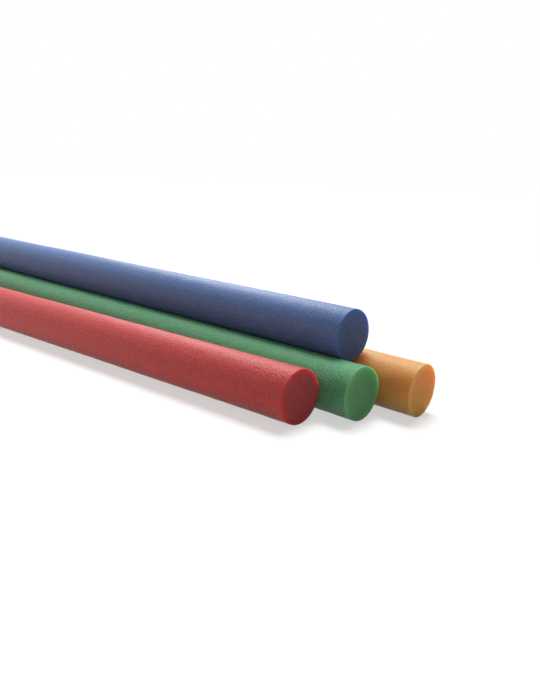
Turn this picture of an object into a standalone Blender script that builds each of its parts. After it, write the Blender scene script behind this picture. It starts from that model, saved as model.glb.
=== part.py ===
"""A pile of four pool noodles, each one solid stick of closed-cell foam.

Red, green and yellow lie side by side on the floor, with their near ends staggered. Blue
rests in the valley between green and yellow, and has wedged those two a little apart.
Red touches green with the rim of its near end and splays away from it behind.

Lengths are in metres. +X runs along green towards the near ends, +Y from red to yellow,
and +Z up. The origin is on the floor, under the middle of the pile.
"""

import math

import bmesh
import bpy
from mathutils import Matrix, Vector

# One noodle, sawn square from a long extrusion
NOODLE_LENGTH = 1.22
NOODLE_DIAMETER = 0.0635
# Handling rounds the sawn edge over
EDGE_RADIUS = 0.0015

# The gap that a noodle keeps to the one that it lies against
SEAT_GAP = 0.0003
# How far blue has wedged green and yellow apart
VALLEY_SPREAD = 0.003
# How far red is turned away from green
RED_SPLAY_DEGREES = 3.1

# How far each near end stands out past the blue one
RED_STAGGER = 0.0075
GREEN_STAGGER = 0.043
YELLOW_STAGGER = 0.0795

# Flats round a noodle, and steps across its rounded edge
FLATS_AROUND = 72
EDGE_STEPS = 4
# An edge between faces that turn more than this shows as a crease
CREASE_DEGREES = 40
# Points of the turned shape that lie closer than this are one point
WELD_DISTANCE = 0.000001

# Foam colours, as the red, green and blue of a screen
RED_FOAM = (188, 82, 78)
GREEN_FOAM = (88, 146, 102)
YELLOW_FOAM = (212, 142, 78)
BLUE_FOAM = (86, 110, 164)
SCREEN_WHITE = 255
FOAM_ROUGHNESS = 0.6


def clear_scene():
    """Removes what the scene holds."""
    for leftover in list(bpy.data.objects):
        bpy.data.objects.remove(leftover)


def linear_light(screen_value):
    """The share of full light that one channel of a screen colour stands for."""
    share = screen_value / SCREEN_WHITE
    if share <= 0.04045:
        return share / 12.92
    return ((share + 0.055) / 1.055) ** 2.4


def foam(name, screen_colour):
    """Matt foam, dyed one colour right through."""
    material = bpy.data.materials.new(name)
    material.use_nodes = True
    shader = material.node_tree.nodes["Principled BSDF"]
    shader.inputs["Base Color"].default_value = (*map(linear_light, screen_colour), 1)
    shader.inputs["Roughness"].default_value = FOAM_ROUGHNESS
    shader.inputs["Metallic"].default_value = 0
    return material


def half_section():
    """Half of a noodle's lengthwise section, as (place along the axis, distance from it).

    It goes from the middle of the near cut, at 0, out to the rounded edge, down the side
    and in to the middle of the far cut. The flats lie on the noodle's true round, so the
    corners between them, which the section follows, stand a hair outside it.
    """
    side = NOODLE_DIAMETER / 2 / math.cos(math.pi / FLATS_AROUND)
    turns = [math.pi / 2 * step / EDGE_STEPS for step in range(EDGE_STEPS + 1)]
    near_edge = [
        (
            EDGE_RADIUS * math.cos(turn) - EDGE_RADIUS,
            EDGE_RADIUS * math.sin(turn) - EDGE_RADIUS + side,
        )
        for turn in turns
    ]
    far_edge = [(-NOODLE_LENGTH - along, out) for along, out in reversed(near_edge)]
    return [(0, 0), *near_edge, *far_edge, (-NOODLE_LENGTH, 0)]


def noodle(name, material):
    """One noodle along X, turned from its half section, with its near cut at the origin.

    The section starts half a flat away from straight up, which puts the middle of a flat,
    and not a corner, against the floor.
    """
    start = Matrix.Rotation(math.pi / FLATS_AROUND, 3, "X")
    work = bmesh.new()
    points = [work.verts.new(start @ Vector((along, 0, out))) for along, out in half_section()]
    lines = [work.edges.new(ends) for ends in zip(points, points[1:])]
    bmesh.ops.spin(
        work,
        geom=points + lines,
        axis=(1, 0, 0),
        angle=math.tau,
        steps=FLATS_AROUND,
    )
    bmesh.ops.remove_doubles(work, verts=work.verts, dist=WELD_DISTANCE)
    bmesh.ops.recalc_face_normals(work, faces=work.faces)

    mesh = bpy.data.meshes.new(name)
    work.to_mesh(mesh)
    work.free()
    mesh.shade_smooth()
    mesh.set_sharp_from_angle(angle=math.radians(CREASE_DEGREES))
    mesh.materials.append(material)
    stick = bpy.data.objects.new(name, mesh)
    bpy.context.scene.collection.objects.link(stick)
    return stick


def red_reach(splay):
    """How far the near end of red, turned by splay, reaches past the middle of its cut.

    The rounded edge is an arc, so its furthest point lies one edge radius from the arc's
    centre, however red is turned.
    """
    arc_centre_out = NOODLE_DIAMETER / 2 - EDGE_RADIUS
    arc_centre_along = -EDGE_RADIUS
    turned = arc_centre_out * math.cos(splay) + arc_centre_along * math.sin(splay)
    return turned + EDGE_RADIUS


def centre_over_origin(pile, sticks):
    """Moves the pile along X and Y until the middle of its box is over the origin."""
    bpy.context.view_layer.update()
    corners = [stick.matrix_world @ vertex.co for stick in sticks for vertex in stick.data.vertices]
    for axis in (0, 1):
        low = min(corner[axis] for corner in corners)
        high = max(corner[axis] for corner in corners)
        pile.location[axis] = -(low + high) / 2


def main():
    """Lays the four noodles against each other, with green's axis over X."""
    clear_scene()
    radius = NOODLE_DIAMETER / 2
    touching = NOODLE_DIAMETER + SEAT_GAP

    green = noodle("green_noodle", foam("green_foam", GREEN_FOAM))
    green.location = (GREEN_STAGGER, 0, radius)

    splay = math.radians(RED_SPLAY_DEGREES)
    red = noodle("red_noodle", foam("red_foam", RED_FOAM))
    red.location = (RED_STAGGER, -radius - SEAT_GAP - red_reach(splay), radius)
    red.rotation_euler = (0, 0, splay)

    valley_width = NOODLE_DIAMETER + VALLEY_SPREAD
    yellow = noodle("yellow_noodle", foam("yellow_foam", YELLOW_FOAM))
    yellow.location = (YELLOW_STAGGER, valley_width, radius)

    # Blue's axis makes an isosceles triangle with the axes of green and yellow
    rise = math.sqrt(touching**2 - (valley_width / 2) ** 2)
    blue = noodle("blue_noodle", foam("blue_foam", BLUE_FOAM))
    blue.location = (0, valley_width / 2, radius + rise)

    pile = bpy.data.objects.new("noodle_pile", None)
    bpy.context.scene.collection.objects.link(pile)
    sticks = (red, green, yellow, blue)
    for stick in sticks:
        stick.parent = pile
    centre_over_origin(pile, sticks)


main()
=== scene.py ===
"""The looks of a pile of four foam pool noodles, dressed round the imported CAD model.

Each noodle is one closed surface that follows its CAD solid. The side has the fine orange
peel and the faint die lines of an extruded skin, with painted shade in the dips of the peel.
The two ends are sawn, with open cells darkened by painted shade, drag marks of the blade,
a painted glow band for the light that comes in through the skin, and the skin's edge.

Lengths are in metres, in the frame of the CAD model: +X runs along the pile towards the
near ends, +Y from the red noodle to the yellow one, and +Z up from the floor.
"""

from __future__ import annotations

import logging
import math
from dataclasses import dataclass, field
from enum import Enum

import bpy
import numpy as np
from mathutils import Matrix, Vector


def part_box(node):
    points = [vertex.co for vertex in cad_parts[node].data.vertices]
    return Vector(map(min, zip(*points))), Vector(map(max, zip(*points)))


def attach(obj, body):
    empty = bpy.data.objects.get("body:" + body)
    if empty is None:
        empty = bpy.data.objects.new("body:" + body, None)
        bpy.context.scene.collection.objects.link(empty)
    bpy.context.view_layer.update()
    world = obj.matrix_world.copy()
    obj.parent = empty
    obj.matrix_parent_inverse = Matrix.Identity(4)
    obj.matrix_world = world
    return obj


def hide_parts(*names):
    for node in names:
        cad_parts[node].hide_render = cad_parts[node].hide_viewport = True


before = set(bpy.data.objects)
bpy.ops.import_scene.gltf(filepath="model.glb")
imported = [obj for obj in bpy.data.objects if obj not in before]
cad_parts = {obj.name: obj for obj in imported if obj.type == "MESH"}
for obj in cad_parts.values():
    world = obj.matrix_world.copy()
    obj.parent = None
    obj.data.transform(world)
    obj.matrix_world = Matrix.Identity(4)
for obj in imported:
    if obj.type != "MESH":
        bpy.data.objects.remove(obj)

LOG = logging.getLogger("noodles")
MM = 0.001
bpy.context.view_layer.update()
# Corners of a CAD mesh that agree to this many decimals are one corner
CORNER_DECIMALS = 6
# A noise runs from 0 to 1 about this
NOISE_MIDDLE = 0.5
# Each finer layer of a noise is this share as strong as the one before
NOISE_ROUGHNESS = 0.55

Array = np.ndarray
Colour = tuple[float, float, float, float]


def screen(red: int, green: int, blue: int) -> Colour:
    """Turns a colour as a screen shows it into the linear colour that a shader takes.

    Formula: the sRGB curve, straight near black and a power of 2.4 above that.

    Args:
        red: Red, from 0 to 255.
        green: Green, from 0 to 255.
        blue: Blue, from 0 to 255.

    Returns:
        The linear colour, with full alpha.
    """
    shares = np.array([red, green, blue]) / 255
    linear = np.where(shares <= 0.04045, shares / 12.92, ((shares + 0.055) / 1.055) ** 2.4)
    return (*linear.tolist(), 1.0)


WHITE = screen(255, 255, 255)
WARM_WHITE = screen(255, 238, 224)


def put(name: str, data: bpy.types.ID) -> bpy.types.Object:
    """Puts a new object into the scene.

    Args:
        name: The object's name.
        data: The mesh, light or camera that it holds.

    Returns:
        The object.
    """
    thing = bpy.data.objects.new(name, data)
    bpy.context.scene.collection.objects.link(thing)
    return thing


class Dye(Enum):
    """The dyes of the foam, each with the name that the CAD model gives its noodle."""

    RED = "red"
    GREEN = "green"
    YELLOW = "yellow"
    BLUE = "blue"

    @property
    def node(self) -> str:
        """The CAD node of the noodle with this dye."""
        return f"{self.value}_noodle"

    @property
    def slot(self) -> str:
        """The record's material slot for foam with this dye."""
        return f"{self.value}_foam"


class Zone(Enum):
    """The two kinds of surface on a noodle, as the material slots of its mesh."""

    SKIN = 0
    SAWN = 1


class CellWall(Enum):
    """How the cells of a foam meet, as the kind of distance that is measured in them."""

    SHARP = "F1"
    ROUNDED = "SMOOTH_F1"


class Socket:
    """One output of a shader node, which takes part in Python arithmetic.

    Each operator adds one Math node, so 1 - mask means here what it means for numbers.
    """

    def __init__(self, graph: Graph, source: bpy.types.NodeSocket) -> None:
        """Wraps source, an output of a node in graph."""
        self.graph = graph
        self.source = source

    def _math(self, operation: str, first: Operand, second: Operand) -> Socket:
        """Adds the Math node of one operation on two values."""
        return self.graph.add("ShaderNodeMath", {"operation": operation}, {0: first, 1: second})

    def __add__(self, other: Operand) -> Socket:
        """self + other."""
        return self._math("ADD", self, other)

    def __radd__(self, other: Operand) -> Socket:
        """other + self."""
        return self._math("ADD", other, self)

    def __sub__(self, other: Operand) -> Socket:
        """self - other."""
        return self._math("SUBTRACT", self, other)

    def __rsub__(self, other: Operand) -> Socket:
        """other - self."""
        return self._math("SUBTRACT", other, self)

    def __mul__(self, other: Operand) -> Socket:
        """self * other."""
        return self._math("MULTIPLY", self, other)

    def __rmul__(self, other: Operand) -> Socket:
        """other * self."""
        return self._math("MULTIPLY", other, self)

    def __or__(self, other: Operand) -> Socket:
        """The larger of self and other, which joins two masks."""
        return self._math("MAXIMUM", self, other)

    def ramp(self, low: float, high: float) -> Socket:
        """A smooth step, 0 where self is at low or past it and 1 where it is at high."""
        settings = {"interpolation_type": "SMOOTHSTEP"}
        return self.graph.add("ShaderNodeMapRange", settings, {0: self, 1: low, 2: high})


Operand = Socket | float


class Graph:
    """The node tree of one material or of the world, emptied and built up again."""

    def __init__(self, owner: bpy.types.Material | bpy.types.World) -> None:
        """Empties a node tree and keeps it.

        Args:
            owner: The material or the world whose tree it is.
        """
        owner.use_nodes = True
        self.tree = owner.node_tree
        self.tree.nodes.clear()

    def add(
        self,
        kind: str,
        settings: dict[str, object] | None = None,
        inputs: dict[str | int, object] | None = None,
        output: str | int = 0,
    ) -> Socket:
        """Adds one node.

        Args:
            kind: The node's type.
            settings: Its own settings, which are set first.
            inputs: A value or a link for each socket that is named or numbered.
            output: The output that is wanted.

        Returns:
            That output.
        """
        node = self.tree.nodes.new(kind)
        for name, value in (settings or {}).items():
            setattr(node, name, value)
        for key, value in (inputs or {}).items():
            if isinstance(value, Socket):
                self.tree.links.new(value.source, node.inputs[key])
            else:
                node.inputs[key].default_value = value
        return Socket(self, node.outputs[output])

    def close(self, kind: str, surface: Socket) -> None:
        """Ends the tree in an output node of that kind, fed by surface."""
        end = self.tree.nodes.new(kind)
        self.tree.links.new(surface.source, end.inputs["Surface"])

    def blend(self, mask: Operand, bare: Socket | Colour, full: Socket | Colour) -> Socket:
        """Mixes two colours.

        Args:
            mask: How much of the second colour shows, from 0 to 1.
            bare: The colour where mask is 0.
            full: The colour where mask is 1.

        Returns:
            The mixed colour.
        """
        factor, first, second, result = 0, 6, 7, 2
        inputs = {factor: mask, first: bare, second: full}
        return self.add("ShaderNodeMix", {"data_type": "RGBA"}, inputs, result)

    def lying(self, lie: Lie) -> Socket:
        """The place on a noodle that is shaded.

        Args:
            lie: How the noodle lies.

        Returns:
            The place along its axis, counted from the near cut, and twice across it.
        """
        place = self.add("ShaderNodeTexCoord", output="Object")
        inputs = {"Vector": place, "Location": lie.near, "Rotation": (0, 0, lie.heading)}
        return self.add("ShaderNodeMapping", {"vector_type": "TEXTURE"}, inputs)

    def off_axis(self, place: Socket) -> Socket:
        """How far a place on a noodle is from its axis.

        Formula: the length of the place with its part along the axis left out.

        Args:
            place: The place along and across the noodle.

        Returns:
            The distance.
        """
        inputs = {0: place, 1: (0, 1, 1)}
        across = self.add("ShaderNodeVectorMath", {"operation": "MULTIPLY"}, inputs)
        return self.add("ShaderNodeVectorMath", {"operation": "LENGTH"}, {0: across}, "Value")

    def stretched(self, place: Socket, times: float) -> Socket:
        """place, with every pattern on it stretched that many times along the noodle."""
        inputs = {"Vector": place, "Scale": (1 / times, 1, 1)}
        return self.add("ShaderNodeMapping", {"vector_type": "POINT"}, inputs)

    def noise(self, place: Socket, size: float, detail: float = 2.0) -> Socket:
        """Soft noise from 0 to 1, whose lumps are about size across."""
        inputs = {"Vector": place, "Scale": 1 / size, "Detail": detail, "Roughness": NOISE_ROUGHNESS}
        return self.add("ShaderNodeTexNoise", {"noise_dimensions": "3D"}, inputs)

    def cells(self, place: Socket, size: float, wall: CellWall = CellWall.SHARP) -> Socket:
        """Distances from the middles of cells that are about size across."""
        inputs = {"Vector": place, "Scale": 1 / size}
        return self.add("ShaderNodeTexVoronoi", {"feature": wall.value}, inputs, "Distance")

    def bump(self, height: Socket, relief: float, strength: float) -> Socket:
        """The normal of a surface with that height, which is relief deep from 0 to 1."""
        inputs = {"Strength": strength, "Distance": relief, "Height": height}
        return self.add("ShaderNodeBump", {}, inputs)


@dataclass(frozen=True)
class Lie:
    """How a noodle lies, and its size.

    Attributes:
        near: The middle of its near cut.
        heading: Which way it points, as an angle from +X towards +Y.
        length: How long it is.
        radius: Half its diameter.
    """

    near: Vector
    heading: float
    length: float
    radius: float

    @classmethod
    def of_node(cls, node: str) -> Lie:
        """Works out how a CAD noodle lies from its corners.

        The corners are spread evenly round the axis and alike at both ends, so their mean
        is the middle of the noodle and their widest spread runs along the axis. A flat
        lies straight up and straight down, so the box's height is the diameter.

        Args:
            node: The CAD node.

        Returns:
            Its lie.
        """
        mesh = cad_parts[node].data
        corners = np.empty(len(mesh.vertices) * 3)
        mesh.vertices.foreach_get("co", corners)
        corners = np.unique(corners.reshape(-1, 3).round(CORNER_DECIMALS), axis=0)
        middle = corners.mean(axis=0)
        widest = np.linalg.svd(corners - middle, full_matrices=False)[2][0]
        axis = widest * np.sign(widest[0])
        half_length = np.abs((corners - middle) @ axis).max()
        low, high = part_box(node)
        return cls(
            near=Vector(middle + axis * half_length),
            heading=math.atan2(axis[1], axis[0]),
            length=2 * half_length,
            radius=(high.z - low.z) / 2,
        )

    def placed(self, local: Array) -> Array:
        """Turns places along and across the noodle into places in the model's frame."""
        turn = np.array(Matrix.Rotation(self.heading, 3, "Z"))
        return local @ turn.T + np.array(self.near)


@dataclass(frozen=True)
class Ripple:
    """Smooth unevenness of a surface: plane waves through space, in all directions.

    Attributes:
        wavelength: The usual distance from one crest to the next.
        depth: How far the deepest hollows lie below the highest crests.
        stretch: How many times longer the waves are along the noodle than across it.
        waves: How many waves are summed.
        length_shares: The shortest and the longest wave, as shares of wavelength.
        steepness: How quickly the surface goes from crest to hollow.
    """

    wavelength: float
    depth: float
    stretch: float = 1.0
    waves: int = 28
    length_shares: tuple[float, float] = (0.75, 1.35)
    steepness: float = 2.0

    def over(self, local: Array, rng: np.random.Generator) -> Array:
        """How far each point sinks.

        Formula: the sum over all waves of cos(k . p + phase), where k is 2 pi over the
        wavelength in a random direction, is scaled to unit spread, and a logistic curve
        then takes it from 0 to depth.

        Args:
            local: Places along and across the noodle, one to a row.
            rng: Draws the directions, lengths and phases of the waves.

        Returns:
            The depth below the true surface, one to a point.
        """
        ways = rng.normal(size=(self.waves, 3))
        ways /= np.linalg.norm(ways, axis=1, keepdims=True)
        ways[:, 0] /= self.stretch
        lengths = self.wavelength * rng.uniform(*self.length_shares, (self.waves, 1))
        phases = rng.uniform(0, math.tau, self.waves)
        swell = np.cos(local @ (math.tau * ways / lengths).T + phases).sum(axis=1)
        spread = math.sqrt(self.waves / 2)
        return self.depth / (1 + np.exp(-self.steepness * swell / spread))


@dataclass(frozen=True)
class Bleed:
    """How light sinks into a foam and comes out again beside where it went in.

    Attributes:
        share: The share of light that does.
        depth: How far it travels.
        reach: How far each colour of it travels, as a share of depth.
    """

    share: float
    depth: float
    reach: tuple[float, float, float]


@dataclass(frozen=True)
class Foam:
    """One dyed foam: its colours, and how coarse its skin came out.

    Attributes:
        skin: The extruded skin.
        hollow_shade: The skin's colour darkened by painted shade, which the small hollows between
            its cells take; the broad clouds and die lines lean towards it as the foam's own uneven
            tone.
        sawn: The cut cell walls on a sawn end.
        shaded_pit: The colour of the open cells on a sawn end, darkened by painted shade.
        glow: A painted glow on the outer band of a sawn end, for light that comes in through the
            skin.
        rim: The cut edge of the dense skin.
        coarseness: How deep the grain of the skin is, next to a usual one, and with it how strong
            the painted shade in its dips is.
        bleed: How light spreads under the surface.
        gloss: How much light the surface mirrors, where 0.5 is usual for a plastic.
        fuzz_roughness: How widely its fine fuzz scatters light.
    """

    skin: Colour
    hollow_shade: Colour
    sawn: Colour
    shaded_pit: Colour
    glow: Colour
    rim: Colour
    coarseness: float
    bleed: Bleed
    gloss: float = 0.24
    fuzz_roughness: float = 0.5

    def shader(
        self, graph: Graph, colour: Socket, roughness: Socket, normal: Socket, fuzz: float
    ) -> Socket:
        """The Principled shader of this foam under one kind of surface.

        Args:
            graph: The material's nodes.
            colour: The surface colour.
            roughness: The surface roughness.
            normal: The bumped normal.
            fuzz: How strongly its fine fuzz catches light from the side.

        Returns:
            The finished surface.
        """
        inputs = {
            "Base Color": colour,
            "Roughness": roughness,
            "Normal": normal,
            "Subsurface Weight": self.bleed.share,
            "Subsurface Radius": self.bleed.reach,
            "Subsurface Scale": self.bleed.depth,
            "Sheen Weight": fuzz,
            "Sheen Roughness": self.fuzz_roughness,
            "Specular IOR Level": self.gloss,
        }
        return graph.add("ShaderNodeBsdfPrincipled", {}, inputs)


# Each foam's hollow and pit colours are darkened by painted shade, and its glow colour is a painted
# glow.
FOAMS = {
    Dye.RED: Foam(
        skin=screen(204, 71, 70),
        hollow_shade=screen(175, 53, 54),
        sawn=screen(180, 72, 76),
        shaded_pit=screen(141, 53, 58),
        glow=screen(228, 64, 68),
        rim=screen(196, 72, 72),
        coarseness=1.45,
        bleed=Bleed(share=0.85, depth=20 * MM, reach=(1.0, 0.25, 0.25)),
    ),
    Dye.GREEN: Foam(
        skin=screen(102, 174, 127),
        hollow_shade=screen(75, 141, 98),
        sawn=screen(102, 165, 114),
        shaded_pit=screen(75, 125, 85),
        glow=screen(138, 208, 146),
        rim=screen(116, 174, 122),
        coarseness=1.2,
        bleed=Bleed(share=0.85, depth=18 * MM, reach=(0.35, 1.0, 0.5)),
    ),
    Dye.YELLOW: Foam(
        skin=screen(220, 167, 93),
        hollow_shade=screen(196, 134, 67),
        sawn=screen(219, 155, 78),
        shaded_pit=screen(195, 131, 61),
        glow=screen(216, 200, 106),
        rim=screen(230, 202, 118),
        coarseness=0.6,
        bleed=Bleed(share=0.9, depth=60 * MM, reach=(1.0, 0.18, 0.06)),
    ),
    Dye.BLUE: Foam(
        skin=screen(89, 120, 174),
        hollow_shade=screen(66, 95, 143),
        sawn=screen(87, 106, 153),
        shaded_pit=screen(59, 76, 117),
        glow=screen(90, 120, 192),
        rim=screen(74, 114, 168),
        coarseness=0.72,
        bleed=Bleed(share=0.85, depth=16 * MM, reach=(0.35, 0.5, 1.0)),
    ),
}


@dataclass(frozen=True)
class SkinFinish:
    """The extruded skin: orange peel over closed cells, with faint lines from the die.

    Attributes:
        foam: The foam that it is the skin of.
        peel: The width of a bump of the orange peel.
        grain: The width of the fine grain on it.
        cloud: The width of the broad clouds in its tone.
        cloud_stretch: How many times longer the clouds are than wide.
        line_pitch: The distance between die lines.
        line_stretch: How many times longer the die lines are than that.
        relief: How high its roughest spots stand.
        peel_range: How far from a bump's middle the dip round it starts, and where it is
            deepest, as shares of the bump's width. The painted shade follows these dips.
        grain_range: Where the grain starts to count as a dip with painted shade, and where it wholly
            does.
        mean_hollow: How much of the skin lies in dips on average, which coarseness leaves as it is.
        base_tone: The skin's tone where nothing varies it. A higher tone is more like the
            colour under painted shade.
        cloud_tone: How much the clouds add to the tone.
        line_tone: How much the die lines add.
        tone_range: The tone with the skin's own colour alone, and that with the painted shade colour
            alone.
        roughness: How rough the skin is.
        grain_roughness: How much rougher the grain makes it.
        cloud_gloss: How much smoother the clouds make it.
        peel_height: The share of the relief that is orange peel.
        grain_height: The share that is grain.
        line_height: The share that is die lines.
        bump_strength: How strongly the relief shows.
        fuzz: How strongly its fine fuzz catches light from the side.
    """

    foam: Foam
    peel: float = 2.3 * MM
    grain: float = 1.1 * MM
    cloud: float = 45 * MM
    cloud_stretch: float = 3
    line_pitch: float = 2.8 * MM
    line_stretch: float = 220
    relief: float = 0.7 * MM
    peel_range: tuple[float, float] = (0.15, 0.75)
    grain_range: tuple[float, float] = (0.35, 0.7)
    mean_hollow: float = 0.42
    base_tone: float = 0.17
    cloud_tone: float = 0.25
    line_tone: float = 0.06
    tone_range: tuple[float, float] = (-0.1, 1.1)
    roughness: float = 0.42
    grain_roughness: float = 0.1
    cloud_gloss: float = 0.06
    peel_height: float = 0.62
    grain_height: float = 0.35
    line_height: float = 0.03
    bump_strength: float = 1.0
    fuzz: float = 0.03

    def material(self, name: str, lie: Lie) -> bpy.types.Material:
        """Makes the material of one noodle's side.

        Args:
            name: The material's name.
            lie: How the noodle lies, which the die lines follow.

        Returns:
            The material.
        """
        material = bpy.data.materials.new(name)
        graph = Graph(material)
        place = graph.lying(lie)
        peel = graph.cells(place, self.peel, CellWall.ROUNDED)
        grain = graph.noise(place, self.grain)
        cloud = graph.noise(graph.stretched(place, self.cloud_stretch), self.cloud, detail=3)
        lines = graph.noise(graph.stretched(place, self.line_stretch), self.line_pitch)

        # Painted shade: the dips of the peel and grain darken the skin towards its shade colour; the
        # clouds and die lines add the foam's own random tone.
        hollow_shade = 0.5 * (peel.ramp(*self.peel_range) + grain.ramp(*self.grain_range))
        coarse_tone = self.foam.coarseness * (hollow_shade - self.mean_hollow)
        tone = self.base_tone + coarse_tone + self.cloud_tone * cloud + self.line_tone * lines
        colour = graph.blend(tone.ramp(*self.tone_range), self.foam.skin, self.foam.hollow_shade)
        roughness = self.roughness + self.grain_roughness * grain - self.cloud_gloss * cloud
        bumps = self.peel_height * (1 - peel) + self.grain_height * grain
        height = bumps + self.line_height * lines
        normal = graph.bump(height, self.relief * self.foam.coarseness, self.bump_strength)
        shader = self.foam.shader(graph, colour, roughness, normal, self.fuzz)
        graph.close("ShaderNodeOutputMaterial", shader)
        return material


@dataclass(frozen=True)
class SawnFinish:
    """A sawn end: open cells, drag marks of the blade and the cut edge of the skin.

    Attributes:
        foam: The foam that is cut.
        cell: The width of a cell.
        cloud: The width of the clouds in its tone.
        drag_pitch: The distance between drag marks.
        drag_wander: How far a drag mark wanders up and down, and how slowly.
        glow_width: The width of the outer band of painted glow, for light that comes in through the
            skin.
        glow_wander: How far the inner edge of that band wanders.
        glow_share: How strongly the band's painted glow shows.
        pit_shade: How much of the painted glow the pits take away, as painted shade.
        rim_width: The width of the cut skin.
        rim_fade: How far inside the noodle's side the cut skin's colour is strongest.
        rim_wander: How far the inner edge of the cut skin wanders.
        rim_share: How strongly the cut skin's colour shows.
        cell_range: How far from a cell's middle its opening starts to close, and where it has
            closed, as shares of the cell's width; the painted shade of the open cells follows it.
        pit_tone: How much painted shade the open cells add to the tone. A higher tone is more like
            the colour of their shade.
        fine_tone: How much the finest grain adds.
        cloud_tone: How much the clouds add.
        clean_tone: How much is taken off again all over.
        roughness: How rough the cut is.
        fine_roughness: How much rougher the finest grain makes it.
        rim_gloss: How much smoother the cut skin is.
        cell_height: The share of the relief that is cell walls.
        fine_height: The share that is the finest grain.
        drag_height: The share that is drag marks.
        relief: How high the walls stand over the pits.
        bump_strength: How strongly the relief shows.
        fuzz: How strongly its fine fuzz catches light from the side.
    """

    foam: Foam
    cell: float = 1.25 * MM
    cloud: float = 12 * MM
    drag_pitch: float = 3.2 * MM
    drag_wander: float = 30 * MM
    glow_width: float = 12 * MM
    glow_wander: float = 3 * MM
    glow_share: float = 0.4
    pit_shade: float = 0.3
    rim_width: float = 1.3 * MM
    rim_fade: float = 0.3 * MM
    rim_wander: float = 0.8 * MM
    rim_share: float = 0.5
    cell_range: tuple[float, float] = (0.2, 0.62)
    pit_tone: float = 0.6
    fine_tone: float = 0.35
    cloud_tone: float = 0.25
    clean_tone: float = 0.12
    roughness: float = 0.72
    fine_roughness: float = 0.12
    rim_gloss: float = 0.1
    cell_height: float = 0.6
    fine_height: float = 0.22
    drag_height: float = 0.1
    relief: float = 0.22 * MM
    bump_strength: float = 0.9
    fuzz: float = 0.05

    def drag(self, graph: Graph, place: Socket) -> Socket:
        """Drag marks, which run across the cut one above the other.

        Formula: the sine of 2 pi over the pitch times the height, with a slow noise added
        to the height.

        Args:
            graph: The material's nodes.
            place: The place along and across the noodle.

        Returns:
            The marks as a wave from -1 to 1.
        """
        wander = graph.noise(place, self.drag_wander, detail=1)
        up = graph.add("ShaderNodeSeparateXYZ", {}, {0: place}, "Z")
        angle = math.tau / self.drag_pitch * (up + self.drag_wander * wander)
        return graph.add("ShaderNodeMath", {"operation": "SINE"}, {0: angle})

    def material(self, name: str, lie: Lie) -> bpy.types.Material:
        """Makes the material of one noodle's sawn ends.

        Args:
            name: The material's name.
            lie: How the noodle lies; the rim is told by the distance from its axis.

        Returns:
            The material.
        """
        material = bpy.data.materials.new(name)
        graph = Graph(material)
        place = graph.lying(lie)
        out = graph.off_axis(place)
        cell = graph.cells(place, self.cell)
        fine = graph.noise(place, self.cell / 2)
        cloud = graph.noise(place, self.cloud)
        radius = lie.radius

        # Painted shade: the open cells darken the cut towards the colour of the pits' shade; the
        # fine grain and clouds add random tone.
        pits = 1 - cell.ramp(*self.cell_range)
        tone = self.pit_tone * pits + self.fine_tone * fine + self.cloud_tone * cloud
        tone -= self.clean_tone
        inner = graph.blend(tone.ramp(0, 1), self.foam.sawn, self.foam.shaded_pit)
        # Painted glow: the outer band is lightened towards the glow colour for light that comes in
        # through the skin, and the pits take some of it back as painted shade.
        wavy = out + self.glow_wander * (cloud - NOISE_MIDDLE)
        glow = self.glow_share * wavy.ramp(radius - self.glow_width, radius)
        outer = graph.blend(glow * (1 - self.pit_shade * pits), inner, self.foam.glow)
        ragged = out + self.rim_wander * (fine - NOISE_MIDDLE)
        rim = ragged.ramp(radius - self.rim_width, radius - self.rim_fade)
        colour = graph.blend(self.rim_share * rim, outer, self.foam.rim)
        roughness = self.roughness + self.fine_roughness * fine - self.rim_gloss * rim
        walls = self.cell_height * (1 - pits) + self.fine_height * fine
        height = walls + self.drag_height * self.drag(graph, place)
        normal = graph.bump(height, self.relief, self.bump_strength)
        shader = self.foam.shader(graph, colour, roughness, normal, self.fuzz)
        graph.close("ShaderNodeOutputMaterial", shader)
        return material


@dataclass(frozen=True)
class Slant:
    """How far a saw cut is off square.

    Attributes:
        aside_degrees: How far it turns, which takes its +Y side ahead.
        up_degrees: How far it tips, which takes its top ahead.
        fade: The length over which the noodle takes the slant up.
    """

    aside_degrees: float = 0.0
    up_degrees: float = 0.0
    fade: float = 60 * MM

    def slide(self, local: Array) -> Array:
        """How far each point moves along the noodle.

        Formula: tan(aside) y + tan(up) z, times a share that falls evenly from 1 at the
        near cut to 0 at the end of the fade.

        Args:
            local: Places along and across the noodle, one to a row.

        Returns:
            The distance ahead, one to a point.
        """
        slopes = np.tan(np.radians([self.aside_degrees, self.up_degrees]))
        return (local[:, 1:] @ slopes) * np.clip(1 + local[:, 0] / self.fade, 0, 1)


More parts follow.
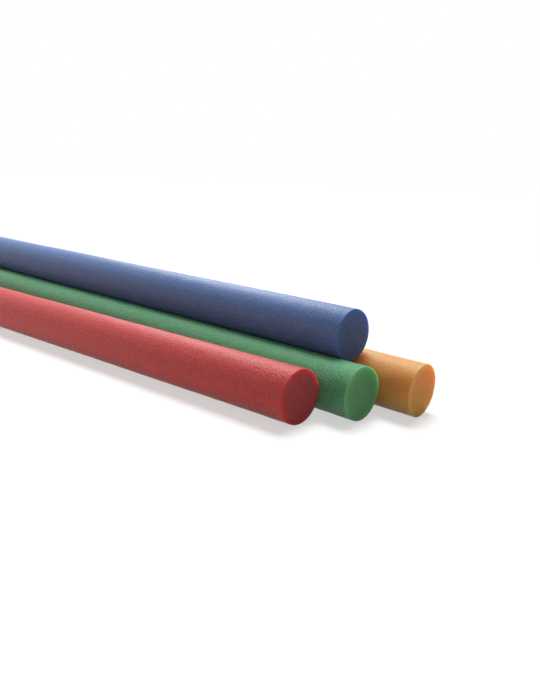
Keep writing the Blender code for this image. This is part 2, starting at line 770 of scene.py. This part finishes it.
@dataclass
class Noodle:
    """One stick of solid foam: a round side between two sawn ends, as one closed mesh.

    Attributes:
        dye: Its dye, which also names its CAD node and body.
        near_cut: How far its near cut is off square.
        edge: The radius of the rounded edge of a cut.
        columns: How many columns of faces go round it.
        side_rows: How many rows of corners there are along the side.
        cut_rows: How many rows of faces cross a cut, from the pole to the edge.
        edge_rows: How many rows of corners go over an edge.
        skin_ripples: The unevenness of the skin.
        cut_ripples: The unevenness of the cuts.
        lie: How it lies, read from the CAD model.
    """

    dye: Dye
    near_cut: Slant = Slant()
    edge: float = 0.7 * MM
    columns: int = 144
    side_rows: int = 430
    cut_rows: int = 16
    edge_rows: int = 7
    skin_ripples: tuple[Ripple, ...] = (
        Ripple(wavelength=95 * MM, depth=0.35 * MM, stretch=2.5),
        Ripple(wavelength=21 * MM, depth=0.18 * MM),
        Ripple(wavelength=7 * MM, depth=0.07 * MM),
    )
    cut_ripples: tuple[Ripple, ...] = (
        Ripple(wavelength=34 * MM, depth=0.3 * MM),
        Ripple(wavelength=6 * MM, depth=0.08 * MM),
    )
    lie: Lie = field(init=False)

    def __post_init__(self) -> None:
        """Reads how the noodle lies from the CAD model."""
        self.lie = Lie.of_node(self.dye.node)

    def section(self) -> tuple[Array, Array]:
        """The lengthwise section, from beside the near pole to beside the far one.

        Formula: straight out over the near cut, a quarter circle over the edge, straight
        along the side, then the same backwards over the far edge and the far cut.

        Returns:
            The points as (along, out), and the outward normal at each.
        """
        reach = self.lie.radius - self.edge
        cut_out = np.linspace(0, reach, self.cut_rows + 1)[1:-1]
        cut = np.column_stack([np.zeros_like(cut_out), cut_out])
        turns = np.linspace(0, math.pi / 2, self.edge_rows)
        lean = np.column_stack([np.cos(turns), np.sin(turns)])
        edge = self.edge * lean + (-self.edge, reach)
        side_along = np.linspace(-self.edge, self.edge - self.lie.length, self.side_rows + 2)
        side = np.column_stack([side_along, np.full_like(side_along, self.lie.radius)])[1:-1]

        near = np.concatenate([cut, edge])
        near_lean = np.concatenate([np.tile([1.0, 0.0], (len(cut), 1)), lean])
        far = near[::-1] * (-1, 1) - (self.lie.length, 0)
        far_lean = near_lean[::-1] * (-1, 1)
        side_lean = np.tile([0.0, 1.0], (len(side), 1))
        return np.concatenate([near, side, far]), np.concatenate([near_lean, side_lean, far_lean])

    def turned(self, rows: Array) -> Array:
        """Turns the rows of a lengthwise section round the axis.

        Formula: at the angle a, (along, out) becomes (along, out cos a, out sin a).

        Args:
            rows: What is turned, as (along, out).

        Returns:
            Every row at every column, one to a row, with the columns of a row together.
        """
        angles = np.arange(self.columns) * math.tau / self.columns
        circle = np.column_stack([np.cos(angles), np.sin(angles)])
        along = np.repeat(rows[:, :1], self.columns, axis=1)[..., None]
        across = rows[:, 1, None, None] * circle[None]
        return np.concatenate([along, across], axis=2).reshape(-1, 3)

    def surface(self) -> Array:
        """The places of all vertices: every row of the section, then the two poles.

        Formula: each point of the section turns round the axis, and then sinks along its
        normal by the ripples, those of the cut by the square of how far the normal leans
        along the axis and those of the skin by the square of how far it leans out. The
        slant of the near cut comes last.

        Returns:
            The vertices along and across the noodle, one to a row.
        """
        section, lean = self.section()
        poles = np.array([[0.0, 0, 0], [-self.lie.length, 0, 0]])
        points = np.concatenate([self.turned(section), poles])
        normals = np.concatenate([self.turned(lean), [[1.0, 0, 0], [-1.0, 0, 0]]])
        rng = np.random.default_rng(list(Dye).index(self.dye) + 1)
        skin_depth = sum(ripple.over(points, rng) for ripple in self.skin_ripples)
        cut_depth = sum(ripple.over(points, rng) for ripple in self.cut_ripples)
        along_share = normals[:, 0] ** 2
        depth = along_share * cut_depth + (1 - along_share) * skin_depth
        points -= normals * depth[:, None]
        points[:, 0] += self.near_cut.slide(points)
        return points

    def faces(self) -> tuple[list[list[int]], Array]:
        """The faces between the rows, and the fans that close the two poles.

        Returns:
            The vertices of each face, and the zone of each face.
        """
        rows = 2 * (self.cut_rows - 1 + self.edge_rows) + self.side_rows
        grid = np.arange(rows * self.columns).reshape(rows, self.columns)
        ahead = np.roll(grid, -1, axis=1)
        quads = np.stack([grid[:-1], grid[1:], ahead[1:], ahead[:-1]], axis=-1).reshape(-1, 4)
        near_pole, far_pole = rows * self.columns, rows * self.columns + 1
        near_fan = np.stack([np.full(self.columns, near_pole), grid[0], ahead[0]], axis=-1)
        far_fan = np.stack([np.full(self.columns, far_pole), ahead[-1], grid[-1]], axis=-1)
        sawn_rows = self.cut_rows - 1 + self.edge_rows // 2
        band = np.full(rows - 1, Zone.SKIN.value)
        band[:sawn_rows] = Zone.SAWN.value
        band[-sawn_rows:] = Zone.SAWN.value
        zones = np.concatenate(
            [np.repeat(band, self.columns), np.full(2 * self.columns, Zone.SAWN.value)]
        )
        return quads.tolist() + near_fan.tolist() + far_fan.tolist(), zones

    def build(self) -> None:
        """Makes the mesh, dresses it and puts it in the place of its CAD solid."""
        mesh = bpy.data.meshes.new(f"{self.dye.value}_noodle_foam")
        faces, zones = self.faces()
        mesh.from_pydata(self.lie.placed(self.surface()).tolist(), [], faces)
        mesh.shade_smooth()
        foam = FOAMS[self.dye]
        mesh.materials.append(SkinFinish(foam).material(f"{self.dye.value}_skin", self.lie))
        mesh.materials.append(SawnFinish(foam).material(f"{self.dye.value}_sawn", self.lie))
        mesh.polygons.foreach_set("material_index", zones.astype(np.int32))
        mesh.update()

        piece = put(f"{self.dye.value}_foam_stick", mesh)
        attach(piece, self.dye.value)
        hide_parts(self.dye.node)
        LOG.info("%s: %d faces, %.0f mm long", piece.name, len(faces), self.lie.length / MM)


RED_CUT = Slant(aside_degrees=2.5, up_degrees=-0.2)
YELLOW_CUT = Slant(aside_degrees=-4.2, up_degrees=1.6)


@dataclass
class Pile:
    """The four noodles, two of them sawn a little off square.

    Attributes:
        red: The front one, which splays away from the others.
        green: The middle one of the bottom row.
        yellow: The back one of the bottom row, which stands out furthest.
        blue: The one on top.
    """

    red: Noodle = field(default_factory=lambda: Noodle(Dye.RED, RED_CUT))
    green: Noodle = field(default_factory=lambda: Noodle(Dye.GREEN))
    yellow: Noodle = field(default_factory=lambda: Noodle(Dye.YELLOW, YELLOW_CUT))
    blue: Noodle = field(default_factory=lambda: Noodle(Dye.BLUE))

    def build(self) -> None:
        """Makes all four."""
        for noodle in (self.red, self.green, self.yellow, self.blue):
            noodle.build()


@dataclass(frozen=True)
class Lamp:
    """One broad, even lamp, so far off that it lights the whole pile alike.

    Attributes:
        name: The lamp's name.
        strength: How much light it gives.
        spread_degrees: How wide it looks from the pile.
        source: The direction that its light comes from.
        colour: The colour of its light.
    """

    name: str
    strength: float
    spread_degrees: float
    source: tuple[float, float, float]
    colour: Colour = WHITE

    def hang(self) -> None:
        """Makes the lamp."""
        lamp = bpy.data.lights.new(self.name, "SUN")
        lamp.energy = self.strength
        lamp.angle = math.radians(self.spread_degrees)
        lamp.color = self.colour[:3]
        holder = put(self.name, lamp)
        holder.rotation_mode = "QUATERNION"
        holder.rotation_quaternion = Vector(self.source).to_track_quat("Z", "Y")


@dataclass(frozen=True)
class Panel:
    """A square panel of soft light beside the pile, whose light fades with distance.

    Attributes:
        name: The panel's name.
        watts: How much light it gives.
        side: How wide it is.
        place: Where it stands.
        aim: What it faces.
        colour: The colour of its light.
    """

    name: str
    watts: float
    side: float
    place: tuple[float, float, float]
    aim: tuple[float, float, float]
    colour: Colour = WHITE

    def hang(self) -> None:
        """Makes the panel."""
        light = bpy.data.lights.new(self.name, "AREA")
        light.energy = self.watts
        light.size = self.side
        light.color = self.colour[:3]
        holder = put(self.name, light)
        holder.location = self.place
        holder.rotation_mode = "QUATERNION"
        facing = Vector(self.place) - Vector(self.aim)
        holder.rotation_quaternion = facing.to_track_quat("Z", "Y")


@dataclass
class Studio:
    """A pale floor under plain soft light, with white all round for the camera.

    Attributes:
        floor_side: The side of the square floor.
        floor_colour: The paint of the floor, as its light falls back on the pile.
        floor_seen: The paint of the floor, as the camera sees it, with the pile's shadow.
        floor_lift: The white that the camera sees on top of that.
        room_light: The brightness of the white room round the pile.
        lights: The key lamp over the pile, a weak one on the ends, and the two panels, one
            high behind it and one low in front.
    """

    floor_side: float = 60.0
    floor_colour: Colour = screen(215, 215, 215)
    floor_seen: Colour = screen(180, 180, 180)
    floor_lift: float = 0.55
    room_light: float = 0.06
    lights: tuple[Lamp | Panel, ...] = (
        Lamp("key_lamp", strength=3.2, spread_degrees=26, source=(-0.25, 0.35, 0.95)),
        Lamp(
            "end_lamp",
            strength=0.44,
            spread_degrees=90,
            source=(1.0, -0.35, 0.35),
            colour=WARM_WHITE,
        ),
        Panel("back_panel", watts=4.5, side=0.6, place=(-0.4, 0.6, 0.7), aim=(0.05, 0.0, 0.05)),
        Panel(
            "front_panel",
            watts=2.1,
            side=0.7,
            place=(-0.3, -0.9, 0.22),
            aim=(0.15, 0.0, 0.05),
            colour=WARM_WHITE,
        ),
    )

    @staticmethod
    def seen_ray(graph: Graph) -> Socket:
        """Tells the rays that show the room itself: straight, mirrored or through glass.

        Args:
            graph: The nodes of the floor or of the world.

        Returns:
            1 for such a ray and 0 for one that only carries light.
        """
        seen = graph.add("ShaderNodeLightPath", output="Is Camera Ray")
        mirrored = graph.add("ShaderNodeLightPath", output="Is Glossy Ray")
        through = graph.add("ShaderNodeLightPath", output="Is Transmission Ray")
        return seen | mirrored | through

    def build(self) -> None:
        """Lays the floor, whitens the room and hangs the lamps."""
        self.lay_floor()
        self.whiten_room()
        for light in self.lights:
            light.hang()

    def lay_floor(self) -> None:
        """Makes the floor, one square face at height 0."""
        half = self.floor_side / 2
        mesh = bpy.data.meshes.new("floor")
        corners = [(-half, -half, 0), (half, -half, 0), (half, half, 0), (-half, half, 0)]
        mesh.from_pydata(corners, [], [(0, 1, 2, 3)])
        material = bpy.data.materials.new("floor_paint")
        graph = Graph(material)
        paint = graph.add("ShaderNodeBsdfDiffuse", {}, {"Color": self.floor_colour})
        shaded = graph.add("ShaderNodeBsdfDiffuse", {}, {"Color": self.floor_seen})
        glow = graph.add("ShaderNodeEmission", {}, {"Strength": self.floor_lift})
        lifted = graph.add("ShaderNodeAddShader", {}, {0: shaded, 1: glow})
        both = graph.add(
            "ShaderNodeMixShader", {}, {0: self.seen_ray(graph), 1: paint, 2: lifted}
        )
        graph.close("ShaderNodeOutputMaterial", both)
        mesh.materials.append(material)
        floor = put("floor", mesh)

    def whiten_room(self) -> None:
        """Makes the room white to look at, and dimmer as a light."""
        world = bpy.data.worlds.new("room")
        graph = Graph(world)
        white = graph.add("ShaderNodeBackground", {}, {"Color": WHITE})
        light = graph.add(
            "ShaderNodeBackground", {}, {"Color": WHITE, "Strength": self.room_light}
        )
        both = graph.add(
            "ShaderNodeMixShader", {}, {0: self.seen_ray(graph), 1: light, 2: white}
        )
        graph.close("ShaderNodeOutputWorld", both)
        bpy.context.scene.world = world


@dataclass(frozen=True)
class Viewpoint:
    """Where the photograph was taken from.

    Attributes:
        ahead: How far the lens was past the near cut of the blue noodle.
        aside: How far it was in front of the axis of the green noodle.
        height: How far it was above the floor.
        heading_degrees: Which way it looked, from +X towards +Y.
        tilt_degrees: How far it looked up.
        roll_degrees: How far it was turned anticlockwise as the photographer saw it.
        focal_pixels: The lens's focal length, in pixels of the photograph.
        frame_height: The photograph's longer side, in pixels.
    """

    ahead: float = 0.4720
    aside: float = 0.6078
    height: float = 0.2618
    heading_degrees: float = 133.31
    tilt_degrees: float = -14.07
    roll_degrees: float = 2.76
    focal_pixels: float = 691.7
    frame_height: int = 700

    def build(self, blue: Lie, green: Lie) -> None:
        """Makes the camera.

        Args:
            blue: How the blue noodle lies.
            green: How the green noodle lies.
        """
        heading = math.radians(self.heading_degrees)
        tilt = math.radians(self.tilt_degrees)
        level = math.cos(tilt)
        forward = (level * math.cos(heading), level * math.sin(heading), math.sin(tilt))
        upright = Vector(forward).to_track_quat("-Z", "Y")
        roll = Matrix.Rotation(math.radians(self.roll_degrees), 3, "Z").to_quaternion()
        data = bpy.data.cameras.new("photo_camera")
        data.lens = data.sensor_width * self.focal_pixels / self.frame_height
        camera = put("photo_camera", data)
        camera.location = (blue.near.x + self.ahead, green.near.y - self.aside, self.height)
        camera.rotation_mode = "QUATERNION"
        camera.rotation_quaternion = upright @ roll
        bpy.context.scene.camera = camera


def main() -> None:
    """Builds the camera, the studio and the four noodles."""
    logging.basicConfig(level=logging.INFO, format="%(message)s")
    bpy.context.scene.view_settings.view_transform = "Standard"
    pile = Pile()
    Viewpoint().build(pile.blue.lie, pile.green.lie)
    Studio().build()
    pile.build()


if __name__ == "__main__":
    main()
